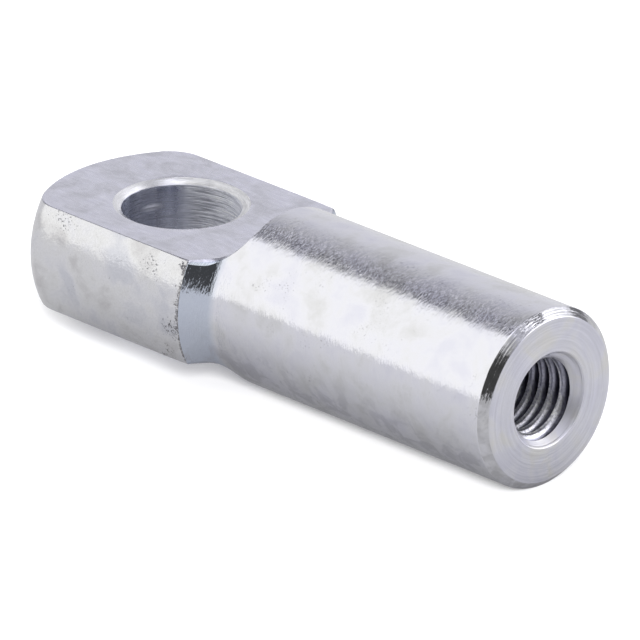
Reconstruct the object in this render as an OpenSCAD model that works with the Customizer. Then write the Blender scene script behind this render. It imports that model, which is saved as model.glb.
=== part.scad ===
// Eye terminal, one solid piece of steel. It is turned from round bar: the eye keeps the bar's
// full diameter and a crowned end, a short cone leads down to the slimmer shank, and the shank's
// end is drilled and tapped. Two parallel flats are then milled across the eye, and the eye's
// hole is drilled square to them.
//
// X runs along the turning axis towards the tapped end, Z along the eye's hole, and the origin
// is the middle of that hole. Sizes are in millimetres.

/* [Eye] */
// Diameter of the round bar, seen as the eye's two round sides
bar_d = 25; // [23:0.5:30]
// Thickness of the eye between its milled flats
eye_t = 12; // [8:0.5:16]
// Diameter of the eye's hole
eye_hole_d = 13; // [8:0.5:15]
// Diameter of the countersink at both mouths of the eye's hole
eye_mouth_d = 14.8; // [13.2:0.1:17]
// Included angle of those countersinks
eye_mouth_angle = 120; // [90:10:130]
// Distance from the eye's centre to the middle of its crowned end
nose_reach = 15.8; // [13:0.2:20]
// Radius of the crowned end
crown_r = 18; // [16:0.5:40]
// Radius that rounds the crown over into the bar's side
crown_edge_r = 4.5; // [1:0.5:6]

/* [Neck] */
// Distance from the eye's centre to where the bar's full diameter ends
bar_reach = 12.2; // [10:0.1:15]
// Slope of the cone between bar and shank, measured from the axis
cone_angle = 45; // [35:1:55]
// Radius in the corner between cone and shank
cone_foot_r = 1.8; // [0.4:0.2:4]
// Distance from the eye's centre to the shoulder that ends each flat
flat_reach = 16.2; // [14.5:0.1:22]
// Radius that the milling cutter leaves between flat and shoulder
flat_corner_r = 3; // [0.5:0.25:4]

/* [Shank] */
// Diameter of the shank
shank_d = 20; // [17:0.5:22]
// Distance from the eye's centre to the tapped end
shank_reach = 55; // [50:1:100]
// Chamfer round the tapped end
tip_chamfer = 0.9; // [0.2:0.1:1.5]

/* [Tapped hole] */
// Nominal diameter of the thread
thread_d = 10; // [8:1:12]
// Pitch of the thread
thread_pitch = 1.5; // [1:0.25:1.75]
// Depth of the drilled hole, without the drill's point
drill_depth = 28; // [15:1:32]
// Point angle of the drill
drill_point_angle = 118; // [90:1:140]
// Diameter of the countersink at the hole's mouth
mouth_d = 10.7; // [10.5:0.1:14]
// Included angle of that countersink
mouth_angle = 90; // [60:10:120]

/* [Hidden] */
$fn = 128;

// How far each cutter runs past the surface that it opens
overrun = 1;

bar_r = bar_d / 2;
shank_r = shank_d / 2;

// Crowned end: the crown's centre, and the circle that rounds it over into the bar's side
crown_centre = crown_r - nose_reach;
edge_centre_r = bar_r - crown_edge_r;
edge_centre = crown_centre - sqrt(pow(crown_r - crown_edge_r, 2) - pow(edge_centre_r, 2));

// Cone: where it would meet the shank, and the stretch that the corner radius takes up instead
cone_foot = bar_reach + (bar_r - shank_r) / tan(cone_angle);
foot_run = cone_foot_r * tan(cone_angle / 2);
foot_start = cone_foot - foot_run * cos(cone_angle);
foot_end = cone_foot + foot_run;

// Tapped hole: the tapping drill leaves the nominal diameter less one pitch
tapping_r = (thread_d - thread_pitch) / 2;
drill_end = shank_reach - drill_depth;
point_depth = tapping_r / tan(drill_point_angle / 2);
mouth_r = mouth_d / 2;
mouth_depth = (mouth_r - tapping_r) / tan(mouth_angle / 2);

// Half section of the crown, up to the circle that rounds it over: a slice of the crown's disc
module crown_section() {
    slice_end = 2 * crown_r / (crown_r - crown_edge_r);
    intersection() {
        translate([0, crown_centre]) circle(crown_r);
        polygon([
            [0, crown_centre],
            [0, crown_centre - 2 * crown_r],
            [edge_centre_r * slice_end, crown_centre + (edge_centre - crown_centre) * slice_end]
        ]);
    }
    translate([edge_centre_r, edge_centre]) circle(crown_edge_r);
}

// Half section from the bar's round side, over the cone and along the shank to the chamfered tip
module bar_and_shank_section() {
    polygon([
        [0, edge_centre],
        [bar_r, edge_centre],
        [bar_r, bar_reach],
        [shank_r, cone_foot],
        [shank_r, shank_reach - tip_chamfer],
        [shank_r - tip_chamfer, shank_reach],
        [0, shank_reach]
    ]);
}

// Fillet in the corner between cone and shank
module cone_foot_section() {
    foot_centre = [shank_r + cone_foot_r, foot_end];
    difference() {
        translate([0, foot_start]) square([foot_centre.x, foot_end - foot_start]);
        translate(foot_centre) circle(cone_foot_r);
    }
}

// The piece as it leaves the lathe
module turned_blank() {
    rotate([0, 90, 0]) rotate_extrude() {
        crown_section();
        bar_and_shank_section();
        cone_foot_section();
    }
}

// What the milling cutter takes off above one flat, with its rounded inner corner
module flat_cut() {
    corner = [flat_reach - flat_corner_r, eye_t / 2 + flat_corner_r];
    cut_start = -nose_reach - overrun;
    cut_top = bar_r + flat_corner_r + overrun;
    rotate([90, 0, 0]) linear_extrude(bar_d + 2 * overrun, center = true) {
        translate([cut_start, eye_t / 2]) square([corner.x - cut_start, cut_top - eye_t / 2]);
        translate([cut_start, corner.y]) square([flat_reach - cut_start, cut_top - corner.y]);
        translate(corner) circle(flat_corner_r);
    }
}

// The eye's hole with its countersunk mouths
module eye_hole() {
    mouth_slope = tan(eye_mouth_angle / 2);
    mouth_cut = (eye_mouth_d - eye_hole_d) / 2 / mouth_slope + overrun;
    cylinder(d = eye_hole_d, h = eye_t + 2 * overrun, center = true);
    for (side = [0, 1]) mirror([0, 0, side])
        translate([0, 0, eye_t / 2 + overrun - mouth_cut])
            cylinder(d1 = eye_hole_d, d2 = eye_hole_d + 2 * mouth_cut * mouth_slope, h = mouth_cut);
}

// The tapping hole with its drill point and countersunk mouth, before the thread is cut
module tapping_hole() {
    mouth_cut_r = mouth_r + overrun * tan(mouth_angle / 2);
    rotate([0, 90, 0]) rotate_extrude() polygon([
        [0, drill_end - point_depth],
        [tapping_r, drill_end],
        [tapping_r, shank_reach - mouth_depth],
        [mouth_cut_r, shank_reach + overrun],
        [0, shank_reach + overrun]
    ]);
}

module eye_terminal() {
    color("#c3c3cd") difference() {
        turned_blank();
        for (side = [0, 1]) mirror([0, 0, side]) flat_cut();
        eye_hole();
        tapping_hole();
    }
}

eye_terminal();
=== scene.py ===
import math

import bmesh
import bpy
import numpy as np
from mathutils import Matrix, Vector


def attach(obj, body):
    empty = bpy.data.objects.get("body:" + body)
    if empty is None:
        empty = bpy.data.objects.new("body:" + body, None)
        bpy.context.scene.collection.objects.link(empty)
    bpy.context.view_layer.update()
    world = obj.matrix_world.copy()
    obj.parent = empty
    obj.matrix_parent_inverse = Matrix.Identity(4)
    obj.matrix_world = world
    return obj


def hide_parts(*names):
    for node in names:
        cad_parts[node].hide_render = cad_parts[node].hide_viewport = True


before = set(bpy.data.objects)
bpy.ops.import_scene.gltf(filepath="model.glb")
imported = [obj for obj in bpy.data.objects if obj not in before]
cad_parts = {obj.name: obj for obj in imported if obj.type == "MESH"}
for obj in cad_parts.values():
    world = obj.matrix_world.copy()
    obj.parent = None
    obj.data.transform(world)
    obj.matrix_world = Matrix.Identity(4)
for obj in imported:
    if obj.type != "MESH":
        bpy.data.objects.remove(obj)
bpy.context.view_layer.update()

# The eye: the end of a round steel bar, which keeps the bar's full diameter. Its end is turned to
# a crown, two parallel flats are milled across it, and the pin hole is drilled through the flats
# and countersunk at both mouths. A cone leads down to the shank. Sizes are in millimetres.
BAR_RADIUS = 12.49
FLAT_HEIGHT = 6.0
NOSE_REACH = 15.8
CROWN_RADIUS = 18.0
CROWN_EDGE_RADIUS = 4.5
BAR_REACH = 12.2
SHANK_RADIUS = 10.0
CONE_FOOT_RADIUS = 1.8
FLAT_REACH = 16.2
FLAT_CORNER_RADIUS = 3.0
EYE_HOLE_RADIUS = 6.5
EYE_MOUTH_RADIUS = 7.4
EYE_MOUTH_SLOPE = math.tan(math.radians(30.0))

crown_centre = CROWN_RADIUS - NOSE_REACH
edge_centre_radius = BAR_RADIUS - CROWN_EDGE_RADIUS
crown_to_edge = CROWN_RADIUS - CROWN_EDGE_RADIUS
edge_centre = crown_centre - math.sqrt(crown_to_edge ** 2 - edge_centre_radius ** 2)
crown_end_angle = math.atan2(edge_centre_radius, crown_centre - edge_centre)
cone_foot = BAR_REACH + BAR_RADIUS - SHANK_RADIUS
foot_run = CONE_FOOT_RADIUS * math.tan(math.radians(22.5))
foot_start = cone_foot - foot_run * math.cos(math.radians(45.0))
foot_end = cone_foot + foot_run
corner_x = FLAT_REACH - FLAT_CORNER_RADIUS
corner_z = FLAT_HEIGHT + FLAT_CORNER_RADIUS


def crown_point(angle):
    """Place along the axis and radius of the crowned end, where its surface leans by angle."""
    if angle <= crown_end_angle:
        return crown_centre - CROWN_RADIUS * math.cos(angle), CROWN_RADIUS * math.sin(angle)
    x = edge_centre - CROWN_EDGE_RADIUS * math.cos(angle)
    return x, edge_centre_radius + CROWN_EDGE_RADIUS * math.sin(angle)


def crown_angle(radius):
    """How far the crowned end's surface leans at a radius."""
    if radius <= CROWN_RADIUS * math.sin(crown_end_angle):
        return math.asin(radius / CROWN_RADIUS)
    return math.asin(min(1.0, (radius - edge_centre_radius) / CROWN_EDGE_RADIUS))


def neck_radius(x):
    """Radius of the turned surface from the bar's side down the cone to the shank."""
    if x <= BAR_REACH:
        return BAR_RADIUS
    if x <= foot_start:
        return BAR_RADIUS - (x - BAR_REACH)
    if x < foot_end:
        return SHANK_RADIUS + CONE_FOOT_RADIUS - math.sqrt(CONE_FOOT_RADIUS ** 2 - (foot_end - x) ** 2)
    return SHANK_RADIUS


def milled_point(length):
    """Point on the milled surface, length along from the foot of its corner and up the shoulder."""
    quarter = FLAT_CORNER_RADIUS * math.pi / 2
    if length <= 0:
        return corner_x + length, FLAT_HEIGHT
    if length >= quarter:
        return FLAT_REACH, corner_z + length - quarter
    angle = length / FLAT_CORNER_RADIUS
    x = corner_x + FLAT_CORNER_RADIUS * math.sin(angle)
    return x, corner_z - FLAT_CORNER_RADIUS * math.cos(angle)


def milled_length(z):
    """The length that milled_point takes to reach a height."""
    if z >= corner_z:
        return FLAT_CORNER_RADIUS * math.pi / 2 + z - corner_z
    return FLAT_CORNER_RADIUS * math.acos((corner_z - z) / FLAT_CORNER_RADIUS)


# The skin is a grid of rows from the crown to the shank. Each row goes round the part through the
# near side, the upper flat, the far side and the lower flat, so every real edge is a line of it.
SIDE_COLUMNS = 52
FLAT_COLUMNS = 52
COLUMNS = 2 * (SIDE_COLUMNS + FLAT_COLUMNS)
CROWN_CORNER = 9.0
JOIN_REACH = 18.0
EDGE_CELL = 0.11

neck_edge_height = corner_z - math.sqrt(FLAT_CORNER_RADIUS ** 2 - (foot_end - corner_x) ** 2)
neck_edge_angle = math.asin(neck_edge_height / SHANK_RADIUS)
even_share = np.linspace(-1.0, 1.0, SIDE_COLUMNS + 1)
inner_share = np.linspace(EDGE_CELL - 1, 1 - EDGE_CELL, SIDE_COLUMNS - 1)
side_share = np.concatenate([[-1.0], inner_share, [1.0]])
over_angles = math.pi / 2 + (math.pi / 2 - neck_edge_angle) * side_share
flat_share = -np.cos(over_angles) / math.cos(neck_edge_angle)
flat_level = np.full(FLAT_COLUMNS + 1, FLAT_HEIGHT)
bar_edge_angle = math.asin(FLAT_HEIGHT / BAR_RADIUS)
side_heights = BAR_RADIUS * np.sin(bar_edge_angle * side_share)


def whole_row(near, over):
    """One row all the way round, from its near side and its upper flat."""
    far = near[::-1] * (1, -1, 1)
    under = over[::-1] * (1, 1, -1)
    return np.concatenate([near, over[1:], far[1:], under[1:-1]])


def turned_arc(x, radius, half_angle, share=side_share):
    """The near side of a row: an arc round the axis from the lower edge to the upper one."""
    angles = half_angle * share
    return np.stack([np.full_like(angles, x), -radius * np.cos(angles), radius * np.sin(angles)], axis=1)


rows = []
row_kind = []
nose_radii = [math.hypot(CROWN_CORNER * t, FLAT_HEIGHT) for t in flat_share]
nose_outline = np.array([crown_point(crown_angle(radius))[0] for radius in nose_radii])
CROWN_ROWS = 14
for step in range(CROWN_ROWS + 1):
    share = step / CROWN_ROWS
    near = []
    for z in side_heights:
        start = crown_angle(math.hypot(CROWN_CORNER, z))
        x, radius = crown_point(start + (math.pi / 2 - start) * share)
        near.append((x, -math.sqrt(radius ** 2 - z ** 2), z))
    near = np.array(near)
    bow = (nose_outline - nose_outline[0]) * (1 - share)
    over = np.stack([near[-1, 0] + bow, -near[-1, 1] * flat_share, flat_level], axis=1)
    rows.append(whole_row(near, over))
    row_kind.append("bar")

# The tool blunts the edge between the bar's side and the cone, so the rows lie closer there.
BLUNT_REACH = 0.12
FINE_REACH = 8.7
coarse_stations = np.linspace(edge_centre, FINE_REACH, 37)[1:]
fine_stations = np.linspace(FINE_REACH, BAR_REACH - BLUNT_REACH, 8)[1:]
blunt_stations = [BAR_REACH + BLUNT_REACH * share for share in (-0.5, 0.0, 0.5)]
cone_stations = np.linspace(BAR_REACH + BLUNT_REACH, corner_x, 5)
for x in [*coarse_stations, *fine_stations, *blunt_stations, *cone_stations]:
    blunt = max(0.0, BLUNT_REACH - abs(x - BAR_REACH)) ** 2 / (4 * BLUNT_REACH)
    radius = neck_radius(x) - blunt
    near = turned_arc(x, radius, math.asin(FLAT_HEIGHT / radius))
    over = np.stack([np.full_like(flat_level, x), -near[-1, 1] * flat_share, flat_level], axis=1)
    rows.append(whole_row(near, over))
    row_kind.append("bar" if x < BAR_REACH else "cone")

# From here the flat's rows climb the cutter's rounded corner to the shoulder.
SHOULDER_ROWS = 20
end_lengths = np.array([milled_length(SHANK_RADIUS * math.sin(a)) for a in over_angles])
for step in range(1, SHOULDER_ROWS + 1):
    length = end_lengths[0] * step / SHOULDER_ROWS
    x, z = milled_point(length)
    radius = neck_radius(x)
    near = turned_arc(x, radius, math.asin(z / radius))
    section = np.array([milled_point(end * step / SHOULDER_ROWS) for end in end_lengths])
    over = np.stack([section[:, 0], -near[-1, 1] * flat_share, section[:, 1]], axis=1)
    rows.append(whole_row(near, over))
    row_kind.append("cone")
shoulder_row = len(rows) - 1
row_kind[-1] = "shank"

# The last rows even out into the plain ring where the shank's own skin begins.
JOIN_ROWS = 6
shoulder_outline = rows[-1][SIDE_COLUMNS:SIDE_COLUMNS + FLAT_COLUMNS + 1, 0]
for step in range(1, JOIN_ROWS + 1):
    share = step / JOIN_ROWS
    x = foot_end + (JOIN_REACH - foot_end) * share
    half_angle = neck_edge_angle + (math.pi / 4 - neck_edge_angle) * share
    column_share = side_share + (even_share - side_share) * share
    near = turned_arc(x, SHANK_RADIUS, half_angle, column_share)
    angles = math.pi / 2 + (math.pi / 2 - half_angle) * column_share
    bow = (shoulder_outline - foot_end) * (1 - share)
    over = np.stack([x + bow, -SHANK_RADIUS * np.cos(angles), SHANK_RADIUS * np.sin(angles)], axis=1)
    rows.append(whole_row(near, over))
    row_kind.append("shank")

eye = bmesh.new()
grid = [[eye.verts.new(Vector(point) / 1000) for point in row] for row in rows]
bar_finish, flat_finish, turned_finish, drilled_finish, faced_finish, tapped_finish = range(6)

WINDOW_REACH = 8.75
flat_columns = set(range(SIDE_COLUMNS, SIDE_COLUMNS + FLAT_COLUMNS))
flat_columns |= {c + SIDE_COLUMNS + FLAT_COLUMNS for c in flat_columns}
window_rows = [i for i, row in enumerate(rows) if i >= CROWN_ROWS and row[0, 0] <= WINDOW_REACH]
flat_half_width = math.sqrt(BAR_RADIUS ** 2 - FLAT_HEIGHT ** 2)
window_shares = [j for j, t in enumerate(flat_share) if abs(t) * flat_half_width <= WINDOW_REACH]
first_row, last_row = window_rows[0], window_rows[-1]
first_share, last_share = window_shares[0], window_shares[-1]


def in_window(row, column):
    """Whether a cell of the grid lies where the eye's hole opens in a flat."""
    share = (column - SIDE_COLUMNS) % (SIDE_COLUMNS + FLAT_COLUMNS)
    return first_row <= row < last_row and column in flat_columns and first_share <= share < last_share


for i in range(len(rows) - 1):
    for j in range(COLUMNS):
        if in_window(i, j):
            continue
        k = (j + 1) % COLUMNS
        face = eye.faces.new((grid[i][j], grid[i + 1][j], grid[i + 1][k], grid[i][k]))
        if j in flat_columns and i < shoulder_row:
            face.material_index = flat_finish
        else:
            face.material_index = bar_finish if row_kind[i] == "bar" else turned_finish

# The crown's middle closes the end of the grid, between the two flats and the two sides.
nose = [[None] * (SIDE_COLUMNS + 1) for _ in range(FLAT_COLUMNS + 1)]
for a, t in enumerate(flat_share):
    for b, z in enumerate(side_heights):
        if a == 0:
            nose[a][b] = grid[0][b]
        elif a == FLAT_COLUMNS:
            nose[a][b] = grid[0][2 * SIDE_COLUMNS + FLAT_COLUMNS - b]
        elif b == SIDE_COLUMNS:
            nose[a][b] = grid[0][SIDE_COLUMNS + a]
        elif b == 0:
            nose[a][b] = grid[0][(COLUMNS - a) % COLUMNS]
        else:
            y = CROWN_CORNER * t
            x = crown_point(crown_angle(math.hypot(y, z)))[0]
            nose[a][b] = eye.verts.new(Vector((x, y, z)) / 1000)
for a in range(FLAT_COLUMNS):
    for b in range(SIDE_COLUMNS):
        face = eye.faces.new((nose[a][b], nose[a][b + 1], nose[a + 1][b + 1], nose[a + 1][b]))
        face.material_index = bar_finish

# The hole's wall runs from one flat's window to the other, through both countersinks. Each ring is
# a radius and a height, and those beside an edge round it by a few hundredths.
mouth_foot = FLAT_HEIGHT - (EYE_MOUTH_RADIUS - EYE_HOLE_RADIUS) * EYE_MOUTH_SLOPE
rim_radius = EYE_MOUTH_RADIUS + 0.05
half_section = [
    (rim_radius, FLAT_HEIGHT),
    (EYE_MOUTH_RADIUS - 0.03, FLAT_HEIGHT - 0.03),
    (EYE_MOUTH_RADIUS - 0.3, FLAT_HEIGHT - 0.3 * EYE_MOUTH_SLOPE),
    (EYE_HOLE_RADIUS + 0.08, mouth_foot + 0.04),
    (EYE_HOLE_RADIUS + 0.02, mouth_foot - 0.02),
    (EYE_HOLE_RADIUS, mouth_foot - 0.1),
]
half_section += [(EYE_HOLE_RADIUS, z) for z in (4.6, 3.5, 2.4, 1.2, 0.0)]
hole_section = half_section + [(r, -z) for r, z in half_section[-2::-1]]

window_edge = [(first_row, c) for c in range(first_share, last_share)]
window_edge += [(r, last_share) for r in range(first_row, last_row)]
window_edge += [(last_row, c) for c in range(last_share, first_share, -1)]
window_edge += [(r, first_share) for r in range(last_row, first_row, -1)]
upper = [grid[r][SIDE_COLUMNS + c] for r, c in window_edge]
lower = [grid[r][(COLUMNS - c) % COLUMNS] for r, c in window_edge]
bearings = [math.atan2(v.co.y, v.co.x) for v in upper]


def rim_ring(window, height, part):
    """A ring on a flat, part of the way from its window's edge to the countersink's rim."""
    ring = []
    for vertex, a in zip(window, bearings):
        rim = Vector((rim_radius * math.cos(a), rim_radius * math.sin(a), height)) / 1000
        ring.append(eye.verts.new(vertex.co.lerp(rim, part)))
    return ring


RIM_PARTS = (0.4, 0.75)
hole_rings = [upper]
hole_rings += [rim_ring(upper, FLAT_HEIGHT, part) for part in RIM_PARTS]
for radius, z in hole_section:
    points = [Vector((radius * math.cos(a), radius * math.sin(a), z)) / 1000 for a in bearings]
    hole_rings.append([eye.verts.new(point) for point in points])
hole_rings += [rim_ring(lower, -FLAT_HEIGHT, part) for part in RIM_PARTS[::-1]]
hole_rings.append(lower)
FLAT_RINGS = 3
for i in range(len(hole_rings) - 1):
    ring, next_ring = hole_rings[i], hole_rings[i + 1]
    on_flat = i < FLAT_RINGS or i > len(hole_rings) - 2 - FLAT_RINGS
    for j in range(len(upper)):
        k = (j + 1) % len(upper)
        face = eye.faces.new((ring[j], ring[k], next_ring[k], next_ring[j]))
        face.material_index = flat_finish if on_flat else drilled_finish

# The milled edges are broken by hand: a little everywhere, and most where the flat meets the cone.
# A weight of 1 stands for the widest broken edge.
WIDEST_BREAK = 0.6
PLAIN_BREAK = 0.15
CONE_BREAK = 0.95
CONE_BREAK_PLACE = 13.2
CONE_BREAK_REACH = 1.3
edge_break = eye.edges.layers.float.new("bevel_weight_edge")
corners = (0, SIDE_COLUMNS, SIDE_COLUMNS + FLAT_COLUMNS, 2 * SIDE_COLUMNS + FLAT_COLUMNS)
for i in range(shoulder_row):
    for c in corners:
        x = rows[i][c, 0]
        on_cone = max(0.0, 1 - ((x - CONE_BREAK_PLACE) / CONE_BREAK_REACH) ** 2)
        uneven = 0.06 * math.sin(2.3 * x + 1.7 * c) + 0.04 * math.sin(5.9 * x + c)
        weight = PLAIN_BREAK + uneven + CONE_BREAK * on_cone
        eye.edges.get((grid[i][c], grid[i + 1][c]))[edge_break] = weight
for i in (0, shoulder_row):
    for c in flat_columns:
        eye.edges.get((grid[i][c], grid[i][(c + 1) % COLUMNS]))[edge_break] = PLAIN_BREAK


def linear(code):
    """An sRGB hex colour as linear RGBA."""
    channels = [int(code[i:i + 2], 16) / 255 for i in (1, 3, 5)]
    return [c / 12.92 if c <= 0.04045 else ((c + 0.055) / 1.055) ** 2.4 for c in channels] + [1.0]


def set_inputs(made, inputs):
    """Sets a node's inputs. Each is a value, a socket, or a node whose first output in use feeds it."""
    for name, value in inputs.items():
        if isinstance(value, bpy.types.Node):
            value = next(socket for socket in value.outputs if socket.enabled)
        if isinstance(value, bpy.types.NodeSocket):
            made.id_data.links.new(value, made.inputs[name])
        else:
            made.inputs[name].default_value = value


def add_node(tree, kind, inputs=None, stops=(), **settings):
    """Adds a node with its settings, its inputs and the stops of a colour ramp."""
    made = tree.nodes.new(kind)
    for name, value in settings.items():
        setattr(made, name, value)
    set_inputs(made, inputs or {})
    for i, (position, code) in enumerate(stops):
        ramp = made.color_ramp.elements
        stop = ramp[i] if i < len(ramp) else ramp.new(position)
        stop.position = position
        stop.color = linear(code)
    return made


def new_finish(name):
    """A plated finish: the material, its tree, its shader and the part's coordinates in millimetres."""
    finish = bpy.data.materials.new(name)
    finish.use_nodes = True
    tree = finish.node_tree
    shader = tree.nodes["Principled BSDF"]
    shader.inputs["Metallic"].default_value = 1.0
    coordinates = add_node(tree, "ShaderNodeTexCoord")
    millimetres = add_node(
        tree, "ShaderNodeMapping", {"Vector": coordinates.outputs["Object"], "Scale": (1000, 1000, 1000)})
    return finish, tree, shader, millimetres


# Bright zinc plate on drawn bar: the mill's skin shows through the plate as faint cream and lilac
# patches and a fine grit. Broad dents and small lumps fray the edges of what it reflects.
drawn_bar, tree, shader, place = new_finish("zinc_plated_drawn_bar")
blotch = add_node(
    tree, "ShaderNodeTexNoise",
    {"Vector": place, "Scale": 0.22, "Detail": 3.0, "Roughness": 0.5, "Distortion": 0.3})
tint = add_node(
    tree, "ShaderNodeValToRGB", {"Fac": blotch},
    stops=[(0.36, "#cac9cb"), (0.46, "#d9d9db"), (0.54, "#dadade"), (0.66, "#cecfd6")])
grit = add_node(
    tree, "ShaderNodeTexNoise", {"Vector": place, "Scale": 4.5, "Detail": 4.0, "Roughness": 0.7})
grit_share = add_node(
    tree, "ShaderNodeMapRange",
    {"Value": grit, "From Min": 0.3, "From Max": 0.7, "To Min": 0.94, "To Max": 1.04})
axes = add_node(tree, "ShaderNodeSeparateXYZ", {0: place}).outputs
# Painted shade: the colour darkens by up to 14% towards the crown's end.
painted_crown_shade = add_node(
    tree, "ShaderNodeMapRange",
    {"Value": axes["X"], "From Min": -13.0, "From Max": -9.5, "To Min": 0.86, "To Max": 1.0})
share = add_node(tree, "ShaderNodeMath", {0: grit_share, 1: painted_crown_shade}, operation="MULTIPLY")
gritty_and_shaded = add_node(tree, "ShaderNodeVectorMath", {0: tint, "Scale": share}, operation="SCALE")
# Pits lie in a few bruised places on the sides and towards the cone. Each row is a place, how far
# its pits spread and how thick they lie.
patches = add_node(tree, "ShaderNodeTexNoise", {"Vector": place, "Scale": 0.45, "Detail": 3.0})
pit_amount = add_node(
    tree, "ShaderNodeMapRange",
    {"Value": patches, "From Min": 0.5, "From Max": 0.72, "To Min": 0.0, "To Max": 0.55})
for spot, reach, amount in (
    ((-6.2, -11.0, 5.6), 3.6, 0.75),
    ((11.0, -12.4, -1.8), 2.2, 1.1),
    ((11.8, -11.2, 5.5), 1.1, 1.4),
    ((10.0, -11.6, -4.8), 1.8, 0.95),
    ((7.3, -11.6, 4.3), 2.6, 0.8),
    ((-4.0, 11.2, -5.2), 3.0, 0.8),
    ((-14.2, -6.2, 3.0), 2.6, 0.9),
    ((8.9, -11.0, -5.8), 0.9, 1.2),
    ((10.9, 12.2, 2.0), 2.4, 1.05),
):
    off_spot = add_node(tree, "ShaderNodeVectorMath", {0: place, 1: spot}, operation="DISTANCE")
    near_spot = add_node(
        tree, "ShaderNodeMapRange",
        {"Value": off_spot, "From Min": reach * 0.3, "From Max": reach, "To Min": amount, "To Max": 0.0})
    pit_amount = add_node(tree, "ShaderNodeMath", {0: pit_amount, 1: near_spot}, operation="MAXIMUM")
pit_shape = add_node(
    tree, "ShaderNodeTexNoise", {"Vector": place, "Scale": 4.0, "Detail": 4.0, "Roughness": 0.7})
pit_height = add_node(
    tree, "ShaderNodeMath", {0: pit_amount, 1: 0.17, 2: pit_shape}, operation="MULTIPLY_ADD")
pits = add_node(
    tree, "ShaderNodeMapRange", {"Value": pit_height, "From Min": 0.71, "From Max": 0.77})
# The turning tool tears the skin along the edge towards the cone, in a ragged strip of specks that
# thins out low on the side.
tear_place = add_node(tree, "ShaderNodeMapping", {"Vector": place, "Scale": (0.6, 0.4, 1.1)})
tear = add_node(
    tree, "ShaderNodeTexNoise", {"Vector": tear_place, "Scale": 1.0, "Detail": 5.0, "Roughness": 0.72})
torn_width = add_node(
    tree, "ShaderNodeMapRange",
    {"Value": tear, "From Min": 0.43, "From Max": 0.7, "To Min": 0.0, "To Max": 1.4})
torn_upper = add_node(
    tree, "ShaderNodeMapRange",
    {"Value": axes["Z"], "From Min": -3.4, "From Max": -1.4, "To Min": 0.35, "To Max": 1.0})
torn_reach = add_node(
    tree, "ShaderNodeMath", {0: torn_width, 1: torn_upper, 2: axes["X"]}, operation="MULTIPLY_ADD")
torn_edge = add_node(
    tree, "ShaderNodeMapRange",
    {"Value": torn_reach, "From Min": BAR_REACH - 0.04, "From Max": BAR_REACH + 0.1,
     "To Min": 0.0, "To Max": 0.9})
torn_specks = add_node(
    tree, "ShaderNodeMapRange",
    {"Value": pit_shape, "From Min": 0.4, "From Max": 0.54, "To Min": 0.3, "To Max": 1.0})
torn = add_node(tree, "ShaderNodeMath", {0: torn_edge, 1: torn_specks}, operation="MULTIPLY")
damage = add_node(tree, "ShaderNodeMath", {0: pits, 1: torn}, operation="MAXIMUM")
colour = add_node(tree, "ShaderNodeMix", {0: damage, 6: gritty_and_shaded, 7: linear("#6d6c70")}, data_type="RGBA")
rough = add_node(
    tree, "ShaderNodeMapRange",
    {"Value": grit, "From Min": 0.3, "From Max": 0.7, "To Min": 0.26, "To Max": 0.12})
dents = add_node(tree, "ShaderNodeTexNoise", {"Vector": place, "Scale": 0.4, "Detail": 1.0})
dent_bump = add_node(tree, "ShaderNodeBump", {"Height": dents, "Distance": 0.00006, "Strength": 1.0})
lumps = add_node(
    tree, "ShaderNodeTexNoise", {"Vector": place, "Scale": 1.7, "Detail": 3.0, "Roughness": 0.6})
relief = add_node(tree, "ShaderNodeMath", {0: damage, 1: -1.0, 2: lumps}, operation="MULTIPLY_ADD")
bump = add_node(
    tree, "ShaderNodeBump",
    {"Height": relief, "Distance": 0.00003, "Strength": 1.0, "Normal": dent_bump})
set_inputs(shader, {"Base Color": colour, "Roughness": rough, "Normal": bump})

# Bright zinc plate on a milled flat: the cutter's slanting marks nearly vanish under the plate and
# leave a silky lilac grey, cloudy and flecked. They are drawn at 0.4 mm, wider than real ones.
milled_flat, tree, shader, place = new_finish("zinc_plated_milled_flat")
along_cut = add_node(
    tree, "ShaderNodeMapping",
    {"Vector": place, "Rotation": (0, 0, math.radians(38)), "Scale": (0.6, 2.6, 2.6)})
marks = add_node(
    tree, "ShaderNodeTexNoise",
    {"Vector": along_cut, "Scale": 1.0, "Detail": 2.0, "Roughness": 0.55, "Distortion": 0.6})
clouds = add_node(
    tree, "ShaderNodeTexNoise",
    {"Vector": place, "Scale": 0.3, "Detail": 3.0, "Roughness": 0.6, "Distortion": 0.5})
tint = add_node(
    tree, "ShaderNodeValToRGB", {"Fac": clouds},
    stops=[(0.33, "#cbcbd3"), (0.5, "#d9d9e3"), (0.62, "#dcdce8"), (0.72, "#e6e6ee")])
mark_share = add_node(
    tree, "ShaderNodeMapRange",
    {"Value": marks, "From Min": 0.3, "From Max": 0.72, "To Min": 0.96, "To Max": 1.04})
marked = add_node(tree, "ShaderNodeVectorMath", {0: tint, "Scale": mark_share}, operation="SCALE")
rough = add_node(
    tree, "ShaderNodeMapRange",
    {"Value": marks, "From Min": 0.3, "From Max": 0.7, "To Min": 0.34, "To Max": 0.2})
bump = add_node(tree, "ShaderNodeBump", {"Height": marks, "Distance": 0.000008, "Strength": 1.0})
set_inputs(shader, {"Base Color": marked, "Roughness": rough, "Normal": bump})
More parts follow.
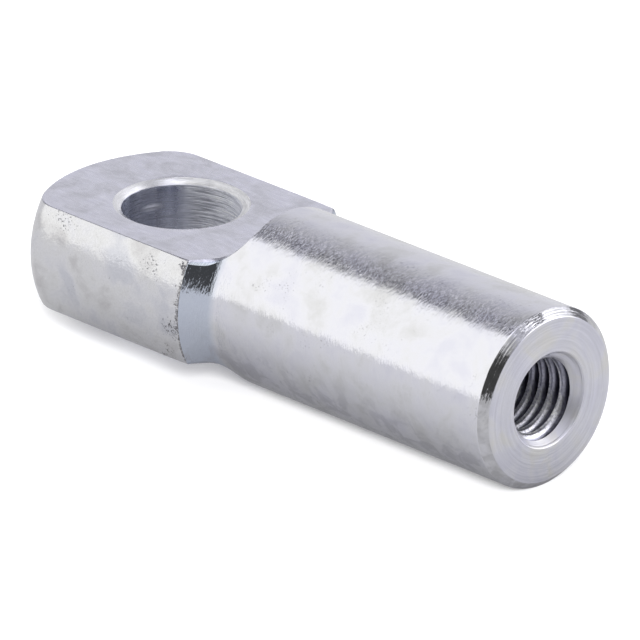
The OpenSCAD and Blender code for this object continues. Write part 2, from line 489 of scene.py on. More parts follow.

# Bright zinc plate in a drilled hole: the drill wanders, so the wall is wavy round its axis, and painted
# reflection runs round it in upright bands, lighter and darker. Its lips leave level scores, drawn at
# 0.2 mm. The countersinks at the mouths are cut cleaner, and painted near white as a highlight.
REFLECTION_BANDS = 5
drilled, tree, shader, place = new_finish("zinc_plated_drilled_hole")
axes = add_node(tree, "ShaderNodeSeparateXYZ", {0: place}).outputs
across_hole = add_node(tree, "ShaderNodeCombineXYZ", {0: axes["X"], 1: axes["Y"]})
from_axis = add_node(tree, "ShaderNodeVectorMath", {0: across_hole}, operation="LENGTH")
on_mouth = add_node(
    tree, "ShaderNodeMapRange",
    {"Value": from_axis, "From Min": EYE_HOLE_RADIUS + 0.03, "From Max": EYE_HOLE_RADIUS + 0.1})
along_drill = add_node(
    tree, "ShaderNodeMapping", {"Vector": place, "Rotation": (0.06, 0.04, 0), "Scale": (0.26, 0.26, 4.6)})
marks = add_node(
    tree, "ShaderNodeTexNoise", {"Vector": along_drill, "Scale": 1.0, "Detail": 4.0, "Roughness": 0.65})
# Painted reflection: the colour swings between grey and white in upright bands round the wall.
wall_angle = add_node(tree, "ShaderNodeMath", {0: axes["Y"], 1: axes["X"]}, operation="ARCTAN2")
band_phase = add_node(
    tree, "ShaderNodeMath", {0: wall_angle, 1: REFLECTION_BANDS, 2: math.radians(110)}, operation="MULTIPLY_ADD")
band_wave = add_node(tree, "ShaderNodeMath", {0: band_phase}, operation="SINE")
band_share = add_node(tree, "ShaderNodeMapRange", {"Value": band_wave, "From Min": -1.0, "From Max": 1.0})
painted_reflection_bands = add_node(
    tree, "ShaderNodeValToRGB", {"Fac": band_share},
    stops=[(0.1, "#a8aab8"), (0.5, "#b9bbc7"), (0.9, "#dfe2ee")])
# The drill chattered on the far side and in one small place near the crown. The scores are deepest
# there, and white streaks of painted highlight lie on them.
far_side_reach = add_node(tree, "ShaderNodeVectorMath", {0: place, 1: (0.04, 0.148, 0.0)}, operation="DOT_PRODUCT")
far_scores_and_highlight = add_node(
    tree, "ShaderNodeMapRange",
    {"Value": far_side_reach, "From Min": 0.4, "From Max": 0.85, "To Min": 0.06, "To Max": 1.0})
patch_place = add_node(tree, "ShaderNodeMapping", {"Vector": place, "Scale": (0.55, 0.55, 1.6)})
off_patch = add_node(
    tree, "ShaderNodeVectorMath", {0: patch_place, 1: (-3.47, 0.88, 5.1)}, operation="DISTANCE")
on_patch = add_node(
    tree, "ShaderNodeMapRange",
    {"Value": off_patch, "From Min": 0.2, "From Max": 1.0, "To Min": 0.55, "To Max": 0.0})
scores_and_highlight = add_node(tree, "ShaderNodeMath", {0: far_scores_and_highlight, 1: on_patch}, operation="MAXIMUM")
streaks = add_node(
    tree, "ShaderNodeMapRange",
    {"Value": marks, "From Min": 0.4, "From Max": 0.54, "To Min": 0.4, "To Max": 1.0})
highlight_streaks = add_node(tree, "ShaderNodeMath", {0: scores_and_highlight, 1: streaks}, operation="MULTIPLY")
# Painted highlight: white streaks on the far side and in the small patch near the crown.
painted_highlights = add_node(
    tree, "ShaderNodeMix", {0: highlight_streaks, 6: painted_reflection_bands, 7: linear("#f8f9ff")}, data_type="RGBA")
# Painted highlight: the countersinks are near white.
plate = add_node(tree, "ShaderNodeMix", {0: on_mouth, 6: painted_highlights, 7: linear("#f6f6f8")}, data_type="RGBA")
mark_share = add_node(
    tree, "ShaderNodeMapRange",
    {"Value": marks, "From Min": 0.34, "From Max": 0.66, "To Min": 0.76, "To Max": 1.06})
marked = add_node(tree, "ShaderNodeVectorMath", {0: plate, "Scale": mark_share}, operation="SCALE")
rough = add_node(
    tree, "ShaderNodeMapRange",
    {"Value": marks, "From Min": 0.3, "From Max": 0.7, "To Min": 0.3, "To Max": 0.14})
rougher = add_node(tree, "ShaderNodeMath", {0: scores_and_highlight, 1: 0.5, 2: rough}, operation="MULTIPLY_ADD")
wall_share = add_node(tree, "ShaderNodeMath", {0: 1.0, 1: on_mouth}, operation="SUBTRACT")
upright = add_node(tree, "ShaderNodeMapping", {"Vector": place, "Scale": (0.34, 0.34, 0.03)})
waves = add_node(tree, "ShaderNodeTexNoise", {"Vector": upright, "Scale": 1.0, "Detail": 1.0})
wave_bump = add_node(
    tree, "ShaderNodeBump", {"Height": waves, "Distance": 0.0006, "Strength": wall_share})
bump = add_node(
    tree, "ShaderNodeBump",
    {"Height": marks, "Distance": 0.0005, "Strength": scores_and_highlight, "Normal": wave_bump})
set_inputs(shader, {"Base Color": marked, "Roughness": rougher, "Normal": bump})

# The shank: turned straight from the cone to a chamfered tip, which is faced square, drilled,
# countersunk and tapped. The thread is right-handed, 1.5 mm from turn to turn.
TIP_REACH = 55.0
TIP_CHAMFER = 0.9
THREAD_RADIUS = 5.0
PITCH = 1.5
DRILL_RADIUS = THREAD_RADIUS - PITCH / 2
DRILL_END = TIP_REACH - 28.0
DRILL_POINT = DRILL_RADIUS / math.tan(math.radians(59.0))
MOUTH_RADIUS = 5.35
EDGE_ROUND = 0.1

# Each point of the section is a place along the axis, a radius, and 1 where the tap cuts it. The
# tool chatters on the chamfer and leaves it wavy by about a hundredth.
CHAMFER_POINTS = 25
CHAMFER_EDGE = 0.03
CHAMFER_WAVE = 0.006
CHAMFER_RIPPLE = 0.004
straight_end = TIP_REACH - TIP_CHAMFER - EDGE_ROUND
shank_section = [(x, SHANK_RADIUS, 0.0) for x in np.linspace(JOIN_REACH, straight_end, 16)]
for step in range(CHAMFER_POINTS):
    share = step / (CHAMFER_POINTS - 1)
    run = CHAMFER_EDGE + (TIP_CHAMFER - 2 * CHAMFER_EDGE) * share
    wave = CHAMFER_WAVE + CHAMFER_WAVE * math.cos(4 * math.tau * share)
    dip = (wave + CHAMFER_RIPPLE * math.sin(2.5 * math.tau * share)) * 0.7
    shank_section.append((TIP_REACH - TIP_CHAMFER + run - dip, SHANK_RADIUS - run - dip, 0.0))
face_edge = SHANK_RADIUS - TIP_CHAMFER
shank_section += [(TIP_REACH - 0.002, face_edge - 0.04, 0.0), (TIP_REACH, face_edge - EDGE_ROUND, 0.0)]
shank_section += [(TIP_REACH, radius, 0.0) for radius in np.linspace(8.4, 5.9, 6)]
for depth, wider in ((0.0, 0.05), (0.012, 0.0), (0.09, -0.1), (0.2, -0.19), (0.25, -0.2)):
    shank_section.append((TIP_REACH - depth, MOUTH_RADIUS + wider, 0.0))
mouth_end = TIP_REACH - 0.28
mouth_end_radius = MOUTH_RADIUS - 0.23

# One turn of the thread, as a distance inwards and a share of the thread's depth. The tap drags the
# metal with it, so the crest leans towards the mouth and its far side ends in a small lip.
THREAD_TURNS = 17
THREAD_LEAD = 0.99
THREAD_RUNOUT = 2.5
ROOT_FLAT = 0.32
FLANK = (THREAD_RADIUS - DRILL_RADIUS) * math.tan(math.radians(30.0))
root_end = FLANK + ROOT_FLAT
crest_start = 2 * FLANK + ROOT_FLAT
tooth = [
    (0.0, 0.0), (0.05, 0.02), (0.1, 0.1), (FLANK * 0.6, 0.6), (FLANK - 0.03, 0.96), (FLANK, 1.0),
    (root_end, 1.0), (root_end + 0.03, 0.96), (FLANK * 1.4 + ROOT_FLAT, 0.6),
    (crest_start - 0.05, 0.22), (crest_start, 0.17), (PITCH - 0.17, 0.13), (PITCH - 0.05, 0.01),
]
thread_start = TIP_REACH + THREAD_LEAD
for turn in range(THREAD_TURNS + 2):
    for inwards, rise in tooth:
        radius = DRILL_RADIUS + (THREAD_RADIUS - DRILL_RADIUS) * rise
        shank_section.append((thread_start - turn * PITCH - inwards, radius, 1.0))
runout_end = TIP_REACH - THREAD_TURNS * PITCH
shank_section += [(runout_end - 0.5, DRILL_RADIUS, 0.0), (DRILL_END, DRILL_RADIUS, 0.0)]
shank_section += [(DRILL_END - DRILL_POINT * s, DRILL_RADIUS * (1 - s), 0.0) for s in (0.3, 0.7, 1.0)]

section_mesh = bpy.data.meshes.new("shank_section")
section_mesh.from_pydata([(x / 1000, radius / 1000, 0) for x, radius, _ in shank_section], [], [])
tapped = section_mesh.attributes.new("tapped", "FLOAT", "POINT")
tapped.data.foreach_set("value", [mark for _, _, mark in shank_section])
shank_object = bpy.data.objects.new("shank_section", section_mesh)
bpy.context.scene.collection.objects.link(shank_object)

# Bright zinc plate on a turned surface: the tool's fine marks run round the axis and fray the edges
# of what it reflects into short streaks. They are drawn at 0.15 mm, about twice the real width.
turned, tree, shader, place = new_finish("zinc_plated_turned_steel")
axes = add_node(tree, "ShaderNodeSeparateXYZ", {0: place}).outputs
round_angle = add_node(tree, "ShaderNodeMath", {0: axes["Y"], 1: axes["Z"]}, operation="ARCTAN2")
round_arc = add_node(tree, "ShaderNodeMath", {0: round_angle, 1: SHANK_RADIUS}, operation="MULTIPLY")
unrolled = add_node(tree, "ShaderNodeCombineXYZ", {0: axes["X"], 1: round_arc})
along_turn = add_node(
    tree, "ShaderNodeMapping", {"Vector": unrolled, "Rotation": (0, 0, 0.05), "Scale": (7.0, 1.1, 1.0)})
marks = add_node(
    tree, "ShaderNodeTexNoise", {"Vector": along_turn, "Scale": 1.0, "Detail": 2.0, "Roughness": 0.6})
blotch = add_node(
    tree, "ShaderNodeTexNoise",
    {"Vector": place, "Scale": 0.2, "Detail": 4.0, "Roughness": 0.58, "Distortion": 0.2})
tint = add_node(
    tree, "ShaderNodeValToRGB", {"Fac": blotch},
    stops=[(0.35, "#d4d4d6"), (0.47, "#dedee3"), (0.54, "#dfdfe6"), (0.66, "#d9d9e3")])
# The plate has a blue cast on the cone.
on_cone = add_node(
    tree, "ShaderNodeMapRange",
    {"Value": axes["X"], "From Min": 14.4, "From Max": 15.2, "To Min": 0.72, "To Max": 0.0})
blued = add_node(tree, "ShaderNodeMix", {0: on_cone, 6: tint, 7: linear("#bac3d3")}, data_type="RGBA")
# Dull grey patches lie on the lower side, darker towards the bottom: in part stains where rinse water
# dried, in part painted shade.
low_side_shade = add_node(tree, "ShaderNodeMapRange", {"Value": axes["Z"], "From Min": -1.0, "From Max": -5.5})
stain_and_shade_shape = add_node(
    tree, "ShaderNodeTexNoise",
    {"Vector": place, "Scale": 0.42, "Detail": 4.0, "Roughness": 0.6, "Distortion": 0.6})
stain_and_shade_share = add_node(
    tree, "ShaderNodeMapRange",
    {"Value": stain_and_shade_shape, "From Min": 0.46, "From Max": 0.58, "To Min": 0.0, "To Max": 0.6})
stain_and_shade = add_node(tree, "ShaderNodeMath", {0: low_side_shade, 1: stain_and_shade_share}, operation="MULTIPLY")
stained_and_shaded = add_node(tree, "ShaderNodeMix", {0: stain_and_shade, 6: blued, 7: linear("#b7b7be")}, data_type="RGBA")
# The chamfer is turned last, and its rougher metal takes the plate duller, in patches.
on_chamfer = add_node(
    tree, "ShaderNodeMapRange",
    {"Value": axes["X"], "From Min": TIP_REACH - TIP_CHAMFER - 0.03,
     "From Max": TIP_REACH - TIP_CHAMFER + 0.05})
patchy = add_node(
    tree, "ShaderNodeTexNoise", {"Vector": place, "Scale": 0.7, "Detail": 3.0, "Distortion": 0.4})
patchy_share = add_node(
    tree, "ShaderNodeMapRange",
    {"Value": patchy, "From Min": 0.36, "From Max": 0.62, "To Min": 0.4, "To Max": 1.0})
dulled = add_node(tree, "ShaderNodeMath", {0: on_chamfer, 1: patchy_share}, operation="MULTIPLY")
plate = add_node(tree, "ShaderNodeMix", {0: dulled, 6: stained_and_shaded, 7: linear("#b8b8bb")}, data_type="RGBA")
# Handling leaves clusters of small grey specks in a few places.
speck_place = add_node(tree, "ShaderNodeTexNoise", {"Vector": place, "Scale": 0.32, "Detail": 2.0})
speck_amount = add_node(
    tree, "ShaderNodeMapRange",
    {"Value": speck_place, "From Min": 0.5, "From Max": 0.7, "To Min": 0.0, "To Max": 0.13})
speck_shape = add_node(
    tree, "ShaderNodeTexNoise", {"Vector": place, "Scale": 3.4, "Detail": 4.0, "Roughness": 0.68})
speck_height = add_node(tree, "ShaderNodeMath", {0: speck_amount, 1: speck_shape}, operation="ADD")
speck_mask = add_node(
    tree, "ShaderNodeMapRange",
    {"Value": speck_height, "From Min": 0.69, "From Max": 0.77, "To Min": 0.0, "To Max": 0.42})
colour = add_node(tree, "ShaderNodeMix", {0: speck_mask, 6: plate, 7: linear("#77767c")}, data_type="RGBA")
rough = add_node(
    tree, "ShaderNodeMapRange",
    {"Value": marks, "From Min": 0.3, "From Max": 0.7, "To Min": 0.14, "To Max": 0.08})
dents = add_node(tree, "ShaderNodeTexNoise", {"Vector": place, "Scale": 0.5, "Detail": 2.0})
dent_bump = add_node(tree, "ShaderNodeBump", {"Height": dents, "Distance": 0.00004, "Strength": 1.0})
# A strip along the top is rubbed, and its marks lie deeper than those on the rest of the shank.
lower_side = add_node(
    tree, "ShaderNodeMapRange",
    {"Value": round_angle, "From Min": math.radians(-34), "From Max": math.radians(-28),
     "To Min": 0.45, "To Max": 1.0})
upper_side = add_node(
    tree, "ShaderNodeMapRange",
    {"Value": round_angle, "From Min": math.radians(-12), "From Max": 0.0, "To Min": 1.0, "To Max": 0.4})
strip = add_node(tree, "ShaderNodeMath", {0: lower_side, 1: upper_side}, operation="MINIMUM")
rubbed = add_node(tree, "ShaderNodeMath", {0: strip, 1: on_cone}, operation="MAXIMUM")
bump = add_node(
    tree, "ShaderNodeBump",
    {"Height": marks, "Distance": 0.00007, "Strength": rubbed, "Normal": dent_bump})
set_inputs(shader, {"Base Color": colour, "Roughness": rough, "Normal": bump})

# Bright zinc plate on the faced tip and in its countersink: shallow rings from the facing tool,
# drawn at 0.3 mm so that they show. The countersink is rougher and looks softer.
faced, tree, shader, place = new_finish("zinc_plated_faced_end")
axes = add_node(tree, "ShaderNodeSeparateXYZ", {0: place}).outputs
across_face = add_node(tree, "ShaderNodeCombineXYZ", {0: axes["Y"], 1: axes["Z"]})
from_axis = add_node(tree, "ShaderNodeVectorMath", {0: across_face}, operation="LENGTH")
round_angle = add_node(tree, "ShaderNodeMath", {0: axes["Y"], 1: axes["Z"]}, operation="ARCTAN2")
ring_place = add_node(tree, "ShaderNodeCombineXYZ", {0: from_axis, 1: round_angle})
ring_scale = add_node(tree, "ShaderNodeMapping", {"Vector": ring_place, "Scale": (3.4, 0.9, 1.0)})
marks = add_node(
    tree, "ShaderNodeTexNoise", {"Vector": ring_scale, "Scale": 1.0, "Detail": 4.0, "Roughness": 0.6})
blotch = add_node(
    tree, "ShaderNodeTexNoise", {"Vector": place, "Scale": 0.25, "Detail": 4.0, "Distortion": 0.6})
tint = add_node(
    tree, "ShaderNodeValToRGB", {"Fac": blotch},
    stops=[(0.36, "#d8d7d7"), (0.5, "#d7d7df"), (0.62, "#d2d2dd")])
mark_share = add_node(
    tree, "ShaderNodeMapRange",
    {"Value": marks, "From Min": 0.32, "From Max": 0.68, "To Min": 0.93, "To Max": 1.08})
marked = add_node(tree, "ShaderNodeVectorMath", {0: tint, "Scale": mark_share}, operation="SCALE")
rough = add_node(
    tree, "ShaderNodeMapRange",
    {"Value": from_axis, "From Min": MOUTH_RADIUS - 0.05, "From Max": MOUTH_RADIUS + 0.05,
     "To Min": 0.5, "To Max": 0.24})
bump = add_node(tree, "ShaderNodeBump", {"Height": marks, "Distance": 0.00003, "Strength": 1.0})
set_inputs(shader, {"Base Color": marked, "Roughness": rough, "Normal": bump})

# Bright zinc plate in a tapped thread: the grooves are painted dark, as shade deep in them, and the
# lower wall is painted white, as a reflection. The crests are torn and speckled.
thread_finish, tree, shader, place = new_finish("zinc_plated_thread")
axes = add_node(tree, "ShaderNodeSeparateXYZ", {0: place}).outputs
across_hole = add_node(tree, "ShaderNodeCombineXYZ", {0: axes["Y"], 1: axes["Z"]})
from_axis = add_node(tree, "ShaderNodeVectorMath", {0: across_hole}, operation="LENGTH")
specks = add_node(tree, "ShaderNodeTexNoise", {"Vector": place, "Scale": 4.0, "Detail": 3.0})
speck_share = add_node(
    tree, "ShaderNodeMath", {0: specks, 1: 0.3, 2: from_axis}, operation="MULTIPLY_ADD")
# Painted reflection: low on the wall the colour is pushed towards white.
lower_wall_highlight = add_node(
    tree, "ShaderNodeMapRange",
    {"Value": axes["Z"], "From Min": -1.0, "From Max": -2.8, "To Min": 0.0, "To Max": 0.42})
painted_shade_depth = add_node(tree, "ShaderNodeMath", {0: speck_share, 1: lower_wall_highlight}, operation="SUBTRACT")
plate = add_node(
    tree, "ShaderNodeMapRange",
    {"Value": painted_shade_depth, "From Min": DRILL_RADIUS + 0.15, "From Max": THREAD_RADIUS + 0.1})
# Painted shade: grey at the crests, near black deep in the grooves.
tint = add_node(
    tree, "ShaderNodeValToRGB", {"Fac": plate},
    stops=[(0.06, "#f8f8ff"), (0.13, "#aeaebc"), (0.45, "#9292a0"), (0.72, "#4e4e5c"), (1.0, "#343442")])
speckle = add_node(
    tree, "ShaderNodeMapRange",
    {"Value": specks, "From Min": 0.35, "From Max": 0.65, "To Min": 0.65, "To Max": 1.2})
speckled = add_node(tree, "ShaderNodeVectorMath", {0: tint, "Scale": speckle}, operation="SCALE")
rough = add_node(
    tree, "ShaderNodeMapRange",
    {"Value": from_axis, "From Min": DRILL_RADIUS + 0.03, "From Max": DRILL_RADIUS + 0.14,
     "To Min": 0.45, "To Max": 0.34})
bump = add_node(tree, "ShaderNodeBump", {"Height": specks, "Distance": 0.00003, "Strength": 1.0})
set_inputs(shader, {"Base Color": speckled, "Roughness": rough, "Normal": bump})

# The tree turns the section about the axis. Its tapped points also advance one pitch for each
# turn, as a tap does, between the countersunk mouth and the run-out.
lathe = bpy.data.node_groups.new("turn_and_tap", "GeometryNodeTree")
socket_names = {}
for name, kind, direction in (
    ("Section", "NodeSocketGeometry", "INPUT"), ("Columns", "NodeSocketInt", "INPUT"),
    ("First Angle", "NodeSocketFloat", "INPUT"), ("Pitch", "NodeSocketFloat", "INPUT"),
    ("Drill Radius", "NodeSocketFloat", "INPUT"), ("Mouth Reach", "NodeSocketFloat", "INPUT"),
    ("Mouth Radius", "NodeSocketFloat", "INPUT"), ("Runout End", "NodeSocketFloat", "INPUT"),
    ("Runout Length", "NodeSocketFloat", "INPUT"), ("Finish", "NodeSocketMaterial", "INPUT"),
    ("Shank", "NodeSocketGeometry", "OUTPUT"),
):
    socket = lathe.interface.new_socket(name, in_out=direction, socket_type=kind)
    socket_names[name] = socket.identifier
given = add_node(lathe, "NodeGroupInput").outputs
# A flat sheet has a row for each point of the section and one column more than go round.
count = add_node(
    lathe, "GeometryNodeAttributeDomainSize", {"Geometry": given["Section"]}, component="MESH")
across = add_node(lathe, "ShaderNodeMath", {0: given["Columns"], 1: 1.0}, operation="ADD")
sheet = add_node(
    lathe, "GeometryNodeMeshGrid", {"Vertices X": count.outputs["Point Count"], "Vertices Y": across})
index = add_node(lathe, "GeometryNodeInputIndex")
row_share = add_node(lathe, "ShaderNodeMath", {0: index, 1: across}, operation="DIVIDE")
row = add_node(lathe, "ShaderNodeMath", {0: row_share}, operation="FLOOR")
column = add_node(lathe, "ShaderNodeMath", {0: index, 1: across}, operation="MODULO")
turn = add_node(lathe, "ShaderNodeMath", {0: column, 1: given["Columns"]}, operation="DIVIDE")
position = add_node(lathe, "GeometryNodeInputPosition")
station = add_node(
    lathe, "GeometryNodeSampleIndex", {"Geometry": given["Section"], "Value": position, "Index": row},
    data_type="FLOAT_VECTOR", domain="POINT")
point = add_node(lathe, "ShaderNodeSeparateXYZ", {0: station}).outputs
mark = add_node(lathe, "GeometryNodeInputNamedAttribute", {"Name": "tapped"}, data_type="FLOAT")
is_tapped = add_node(
    lathe, "GeometryNodeSampleIndex", {"Geometry": given["Section"], "Value": mark, "Index": row},
    data_type="FLOAT", domain="POINT")
# Where a tapped point lies: held between mouth and run-out, and no narrower than the countersink.
advance = add_node(
    lathe, "ShaderNodeMath", {0: turn, 1: given["Pitch"], 2: point["X"]}, operation="MULTIPLY_ADD")
held = add_node(
    lathe, "ShaderNodeClamp", {"Value": advance, "Min": given["Runout End"], "Max": given["Mouth Reach"]})
inside = add_node(lathe, "ShaderNodeMath", {0: held, 1: given["Runout End"]}, operation="SUBTRACT")
cut = add_node(
    lathe, "ShaderNodeMath", {0: inside, 1: given["Runout Length"]}, operation="DIVIDE", use_clamp=True)
groove = add_node(lathe, "ShaderNodeMath", {0: point["Y"], 1: given["Drill Radius"]}, operation="SUBTRACT")
cut_radius = add_node(
    lathe, "ShaderNodeMath", {0: groove, 1: cut, 2: given["Drill Radius"]}, operation="MULTIPLY_ADD")
before_mouth = add_node(lathe, "ShaderNodeMath", {0: given["Mouth Reach"], 1: held}, operation="SUBTRACT")
mouth_cone = add_node(
    lathe, "ShaderNodeMath", {0: given["Mouth Radius"], 1: before_mouth}, operation="SUBTRACT")
tapped_radius = add_node(lathe, "ShaderNodeMath", {0: cut_radius, 1: mouth_cone}, operation="MAXIMUM")
along = add_node(lathe, "ShaderNodeMix", {0: is_tapped, 2: point["X"], 3: held}, data_type="FLOAT")
radius = add_node(
    lathe, "ShaderNodeMix", {0: is_tapped, 2: point["Y"], 3: tapped_radius}, data_type="FLOAT")
angle = add_node(
    lathe, "ShaderNodeMath", {0: turn, 1: math.tau, 2: given["First Angle"]}, operation="MULTIPLY_ADD")
cosine = add_node(lathe, "ShaderNodeMath", {0: angle}, operation="COSINE")
sine = add_node(lathe, "ShaderNodeMath", {0: angle}, operation="SINE")
nearer = add_node(lathe, "ShaderNodeMath", {0: radius, 1: cosine}, operation="MULTIPLY")
side = add_node(lathe, "ShaderNodeMath", {0: nearer, 1: -1.0}, operation="MULTIPLY")
height = add_node(lathe, "ShaderNodeMath", {0: radius, 1: sine}, operation="MULTIPLY")
turned_place = add_node(lathe, "ShaderNodeCombineXYZ", {0: along, 1: side, 2: height})
wrapped = add_node(lathe, "GeometryNodeSetPosition", {"Geometry": sheet, "Position": turned_place})
welded = add_node(lathe, "GeometryNodeMergeByDistance", {"Geometry": wrapped, "Distance": 2e-7})
realized = add_node(lathe, "GeometryNodeRealizeInstances", {"Geometry": welded})
painted = add_node(lathe, "GeometryNodeSetMaterial", {"Geometry": realized, "Material": given["Finish"]})
add_node(lathe, "NodeGroupOutput", {"Shank": painted})

turning = shank_object.modifiers.new("turn_and_tap", "NODES")
turning.node_group = lathe
for name, value in (
    ("Columns", COLUMNS), ("First Angle", -math.pi / 4), ("Pitch", PITCH / 1000),
    ("Drill Radius", DRILL_RADIUS / 1000), ("Mouth Reach", mouth_end / 1000),
    ("Mouth Radius", mouth_end_radius / 1000), ("Runout End", runout_end / 1000),
    ("Runout Length", THREAD_RUNOUT / 1000), ("Finish", turned),
):
    turning[socket_names[name]] = value
depsgraph = bpy.context.evaluated_depsgraph_get()
shank_mesh = bpy.data.meshes.new_from_object(shank_object.evaluated_get(depsgraph))
shank_object.modifiers.remove(turning)
bpy.data.objects.remove(shank_object)

# The tip's face and the countersink, as far as it reaches into the thread, share the faced finish.
COUNTERSINK_DEPTH = 1.2
COUNTERSINK_SLACK = 0.2
shank = bmesh.new()
shank.from_mesh(shank_mesh)
for face in shank.faces:
    centre = face.calc_center_median() * 1000
    radius = math.hypot(centre.y, centre.z)
    off_cone = abs(radius - (mouth_end_radius + centre.x - mouth_end))
    in_mouth = off_cone < COUNTERSINK_SLACK and centre.x > TIP_REACH - COUNTERSINK_DEPTH
    face.material_index = turned_finish
    if in_mouth or centre.x > mouth_end:
        face.material_index = faced_finish if radius < SHANK_RADIUS - TIP_CHAMFER else turned_finish
    elif radius < MOUTH_RADIUS:
        face.material_index = tapped_finish
shank.to_mesh(shank_mesh)
shank.free()

# The whole terminal: eye and shank are one bar, so the two skins are joined at their shared row and
# closed. Its edges are then broken, and every finish is the one bright zinc plate.
SHARP_ANGLE = math.radians(28.0)
eye.from_mesh(shank_mesh)
bmesh.ops.remove_doubles(eye, verts=eye.verts, dist=1e-6)
bmesh.ops.dissolve_degenerate(eye, edges=eye.edges, dist=1e-7)
bmesh.ops.recalc_face_normals(eye, faces=eye.faces)
for face in eye.faces:
    face.smooth = True
for edge in eye.edges:
    edge.smooth = edge.calc_face_angle(0.0) < SHARP_ANGLE
terminal_mesh = bpy.data.meshes.new("eye_terminal_plated")
eye.to_mesh(terminal_mesh)
eye.free()
terminal = bpy.data.objects.new("eye_terminal_plated", terminal_mesh)
bpy.context.scene.collection.objects.link(terminal)
for finish in (drawn_bar, milled_flat, turned, drilled, faced, thread_finish):
    terminal_mesh.materials.append(finish)
breaking = terminal.modifiers.new("broken_edges", "BEVEL")
breaking.limit_method = "WEIGHT"
breaking.width = WIDEST_BREAK / 1000
breaking.segments = 4
breaking.profile = 0.35
breaking.use_clamp_overlap = False
shading = terminal.modifiers.new("even_shading", "WEIGHTED_NORMAL")
shading.keep_sharp = True
shading.weight = 80
depsgraph = bpy.context.evaluated_depsgraph_get()
shaded_mesh = bpy.data.meshes.new_from_object(terminal.evaluated_get(depsgraph))
terminal.modifiers.clear()
terminal.data = shaded_mesh
shaded_mesh.name = "eye_terminal_plated"

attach(terminal, "root")
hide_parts("eye_terminal")

# The floor: a matte white sheet under the part, which lies on the shank's lowest line. The camera
# sees it lit by its own lamp, with the part's soft shadow. The metal mirrors it as a glowing pale
# sheet with a painted shadow, an occlusion ramp that darkens it towards the part.
FLOOR_HEIGHT = -0.010
FLOOR_HALF = 3.0
floor_mesh = bpy.data.meshes.new("floor")
floor_corners = [(-1, -1), (1, -1), (1, 1), (-1, 1)]
floor_mesh.from_pydata(
    [(x * FLOOR_HALF, y * FLOOR_HALF, FLOOR_HEIGHT) for x, y in floor_corners], [], [(0, 1, 2, 3)])
floor = bpy.data.objects.new("floor", floor_mesh)
bpy.context.scene.collection.objects.link(floor)
white_sheet = bpy.data.materials.new("matte_white_sheet")
white_sheet.use_nodes = True
tree = white_sheet.node_tree
shader = tree.nodes["Principled BSDF"]
set_inputs(shader, {
    "Base Color": linear("#f4f4f4"), "Roughness": 0.9, "Specular IOR Level": 0.0,
    "Emission Color": linear("#ffffff"), "Emission Strength": 0.08})
seen = add_node(tree, "ShaderNodeLightPath").outputs
# Painted shadow: for all but camera rays the floor glows, darker where the part occludes it.
wide_open = add_node(tree, "ShaderNodeAmbientOcclusion", {"Distance": 0.06}, samples=8)
mirrored_painted_shadow = add_node(
    tree, "ShaderNodeValToRGB", {"Fac": wide_open.outputs["AO"]},
    stops=[(0.2, "#909093"), (0.5, "#b2b2b5"), (0.75, "#cfcfd1"), (1.0, "#e8e8ea")])
ground = add_node(tree, "ShaderNodeEmission", {"Color": mirrored_painted_shadow, "Strength": 1.0})
sheet_look = add_node(tree, "ShaderNodeMixShader", {0: seen["Is Camera Ray"], 1: ground, 2: shader})
set_inputs(tree.nodes["Material Output"], {"Surface": sheet_look})
floor_mesh.materials.append(white_sheet)

# The light: a white studio tent. Its front is a bright wall that ends overhead in a dark gap, and
# its back grows lighter towards the floor. Small white panels hang overhead and at the back right,
# and the camera stands in a dark opening at the front right.
TENT_BRIGHTNESS = 1.2
world = bpy.data.worlds.new("studio_tent")
bpy.context.scene.world = world
world.use_nodes = True
tree = world.node_tree
heading = add_node(tree, "ShaderNodeTexCoord").outputs["Generated"]
heading_axes = add_node(tree, "ShaderNodeSeparateXYZ", {0: heading}).outputs
frontward = add_node(tree, "ShaderNodeMath", {0: heading_axes["Y"], 1: -1.0}, operation="MULTIPLY")
over_angle = add_node(tree, "ShaderNodeMath", {0: heading_axes["Z"], 1: frontward}, operation="ARCTAN2")
over_share = add_node(tree, "ShaderNodeMath", {0: over_angle, 1: math.pi}, operation="DIVIDE")
tent = add_node(
    tree, "ShaderNodeValToRGB", {"Fac": over_share},
    stops=[(0.474, "#ffffff"), (0.494, "#484848"), (0.53, "#505050"), (0.608, "#979797"),
           (0.675, "#b6b6b6"), (0.742, "#cbcbcb"), (0.808, "#d8d8d8")])
level = add_node(tree, "ShaderNodeMath", {0: tent, 1: TENT_BRIGHTNESS}, operation="MULTIPLY")
# Each row is the way to a panel, the cosines where its edge starts and where it is full, and its
# brightness: the tent's two ends, four white panels, two dark gaps and the camera's opening.
for towards, edge, full, brightness in (
    ((-1.0, 0.0, 0.0), 0.96, 0.99, 0.8),
    ((1.0, 0.0, 0.0), 0.96, 0.99, 0.8),
    ((0.0, 0.0, 1.0), 0.91, 0.97, 1.4),
    ((0.63, 0.10, 0.77), 0.925, 0.97, 0.8),
    ((0.27, 0.80, 0.53), 0.88, 0.95, 1.35),
    ((0.66, 0.656, 0.37), 0.86, 0.96, 2.8),
    ((0.495, 0.458, 0.738), 0.975, 0.99, 0.25),
    ((0.007, 0.984, 0.18), 0.975, 0.99, 0.25),
    ((0.77, -0.56, 0.20), 0.74, 0.90, 0.08),
):
    facing = add_node(
        tree, "ShaderNodeVectorMath", {0: heading, 1: Vector(towards).normalized()},
        operation="DOT_PRODUCT")
    share = add_node(
        tree, "ShaderNodeMapRange", {"Value": facing, "From Min": edge, "From Max": full},
        interpolation_type="SMOOTHSTEP")
    level = add_node(tree, "ShaderNodeMix", {0: share, 2: level, 3: brightness}, data_type="FLOAT")
warmth = add_node(
    tree, "ShaderNodeValToRGB", {"Fac": over_share},
    stops=[(0.45, "#fffffd"), (0.5, "#f2f2ff"), (0.7, "#fafaff")])
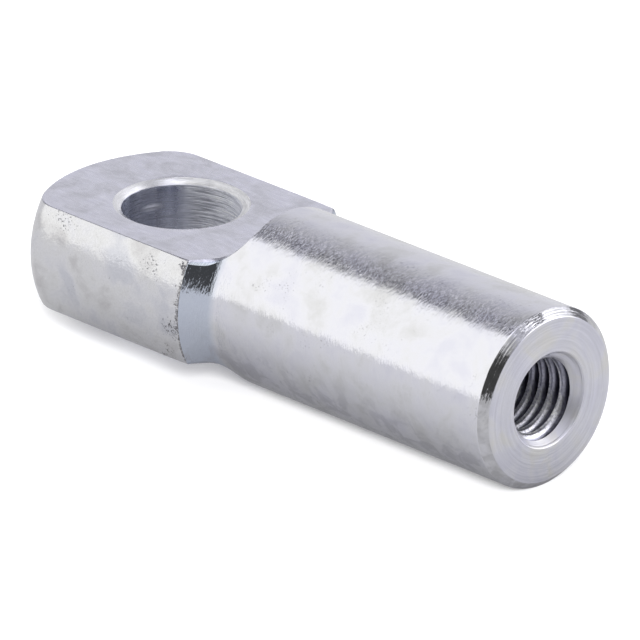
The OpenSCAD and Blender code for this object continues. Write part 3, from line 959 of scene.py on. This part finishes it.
set_inputs(tree.nodes["Background"], {"Color": warmth, "Strength": level})

# A wide lamp over the camera lights the floor alone, so that the part's shadow falls close behind
# it and the metal gets no more light.
TO_LAMP = Vector((0.62, -0.56, 0.45))
lit_floor = bpy.data.collections.new("lit_floor")
lit_floor.objects.link(floor)
lamp_data = bpy.data.lights.new("floor_lamp", "SUN")
lamp_data.energy = 4.4
lamp_data.angle = math.radians(18)
lamp = bpy.data.objects.new("floor_lamp", lamp_data)
lamp.rotation_euler = TO_LAMP.to_track_quat("Z", "Y").to_euler()
lamp.light_linking.receiver_collection = lit_floor
bpy.context.scene.collection.objects.link(lamp)

# The camera looks down on the tapped end from the front right, from over a metre away. Its place
# was fitted to the photo's edges, and its lens is given in pixels of a picture 640 wide.
AZIMUTH = math.radians(44.644)
ELEVATION = math.radians(22.7658)
ROLL = math.radians(0.7104)
DISTANCE = 1169.899
SLIDE_RIGHT = 15.526
SLIDE_UP = -7.294
AIM = Vector((-0.812, 0, 0))
FOCAL_PIXELS = 10839.141
PICTURE_WIDTH = 640
level_part = math.cos(ELEVATION)
away = Vector((math.sin(AZIMUTH) * level_part, -math.cos(AZIMUTH) * level_part, math.sin(ELEVATION)))
level_right = Vector((math.cos(AZIMUTH), math.sin(AZIMUTH), 0))
level_up = away.cross(level_right)
right = level_right * math.cos(ROLL) + level_up * math.sin(ROLL)
up = level_up * math.cos(ROLL) - level_right * math.sin(ROLL)
eye_point = (AIM + away * DISTANCE + right * SLIDE_RIGHT + up * SLIDE_UP) / 1000
camera_data = bpy.data.cameras.new("camera")
camera_data.sensor_width = 36.0
camera_data.lens = FOCAL_PIXELS / PICTURE_WIDTH * camera_data.sensor_width
camera_data.clip_start = 0.01
camera_data.clip_end = 20.0
camera = bpy.data.objects.new("camera", camera_data)
camera_turn = Matrix((right, up, away)).transposed().to_4x4()
camera.matrix_world = Matrix.Translation(eye_point) @ camera_turn
bpy.context.scene.collection.objects.link(camera)
bpy.context.scene.camera = camera
bpy.context.scene.view_settings.view_transform = "Standard"
